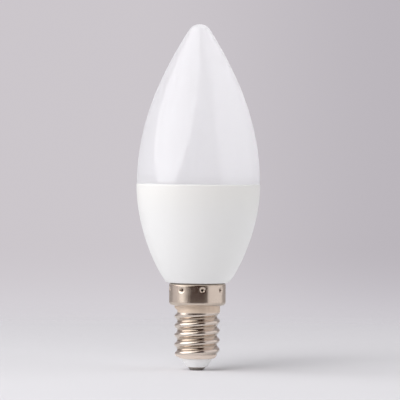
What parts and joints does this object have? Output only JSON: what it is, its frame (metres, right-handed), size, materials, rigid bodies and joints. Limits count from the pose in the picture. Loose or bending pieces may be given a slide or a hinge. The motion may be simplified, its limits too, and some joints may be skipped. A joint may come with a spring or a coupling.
{
  "type": "candle bulb",
  "caption": "Candle-shaped lamp with an opal cover on a white bell housing, and a plated screw cap with a crimped skirt, a rolled thread and a centre contact.",
  "frame": {"origin": "middle of the centre contact's lower face, where the lamp bottoms in its holder", "axes": "+Z along the lamp's axis, from the cap to the tip of the cover; -Y is the side that the picture shows"},
  "size_m": [0.037, 0.037, 0.1035],
  "materials": {
    "opal_plastic": "opal, semi-gloss",
    "white_plastic": "satin moulded white",
    "nickel_plate": "bright nickel plate on drawn brass sheet",
    "insulator_white": "satin moulded off-white",
    "contact_metal": "dull plated rivet"
  },
  "bodies": {
    "root": {"opal_cover": "opal_plastic", "housing": "white_plastic", "screw_shell": "nickel_plate", "cap_insulator": "insulator_white", "centre_contact": "contact_metal"}
  },
  "joints": []
}
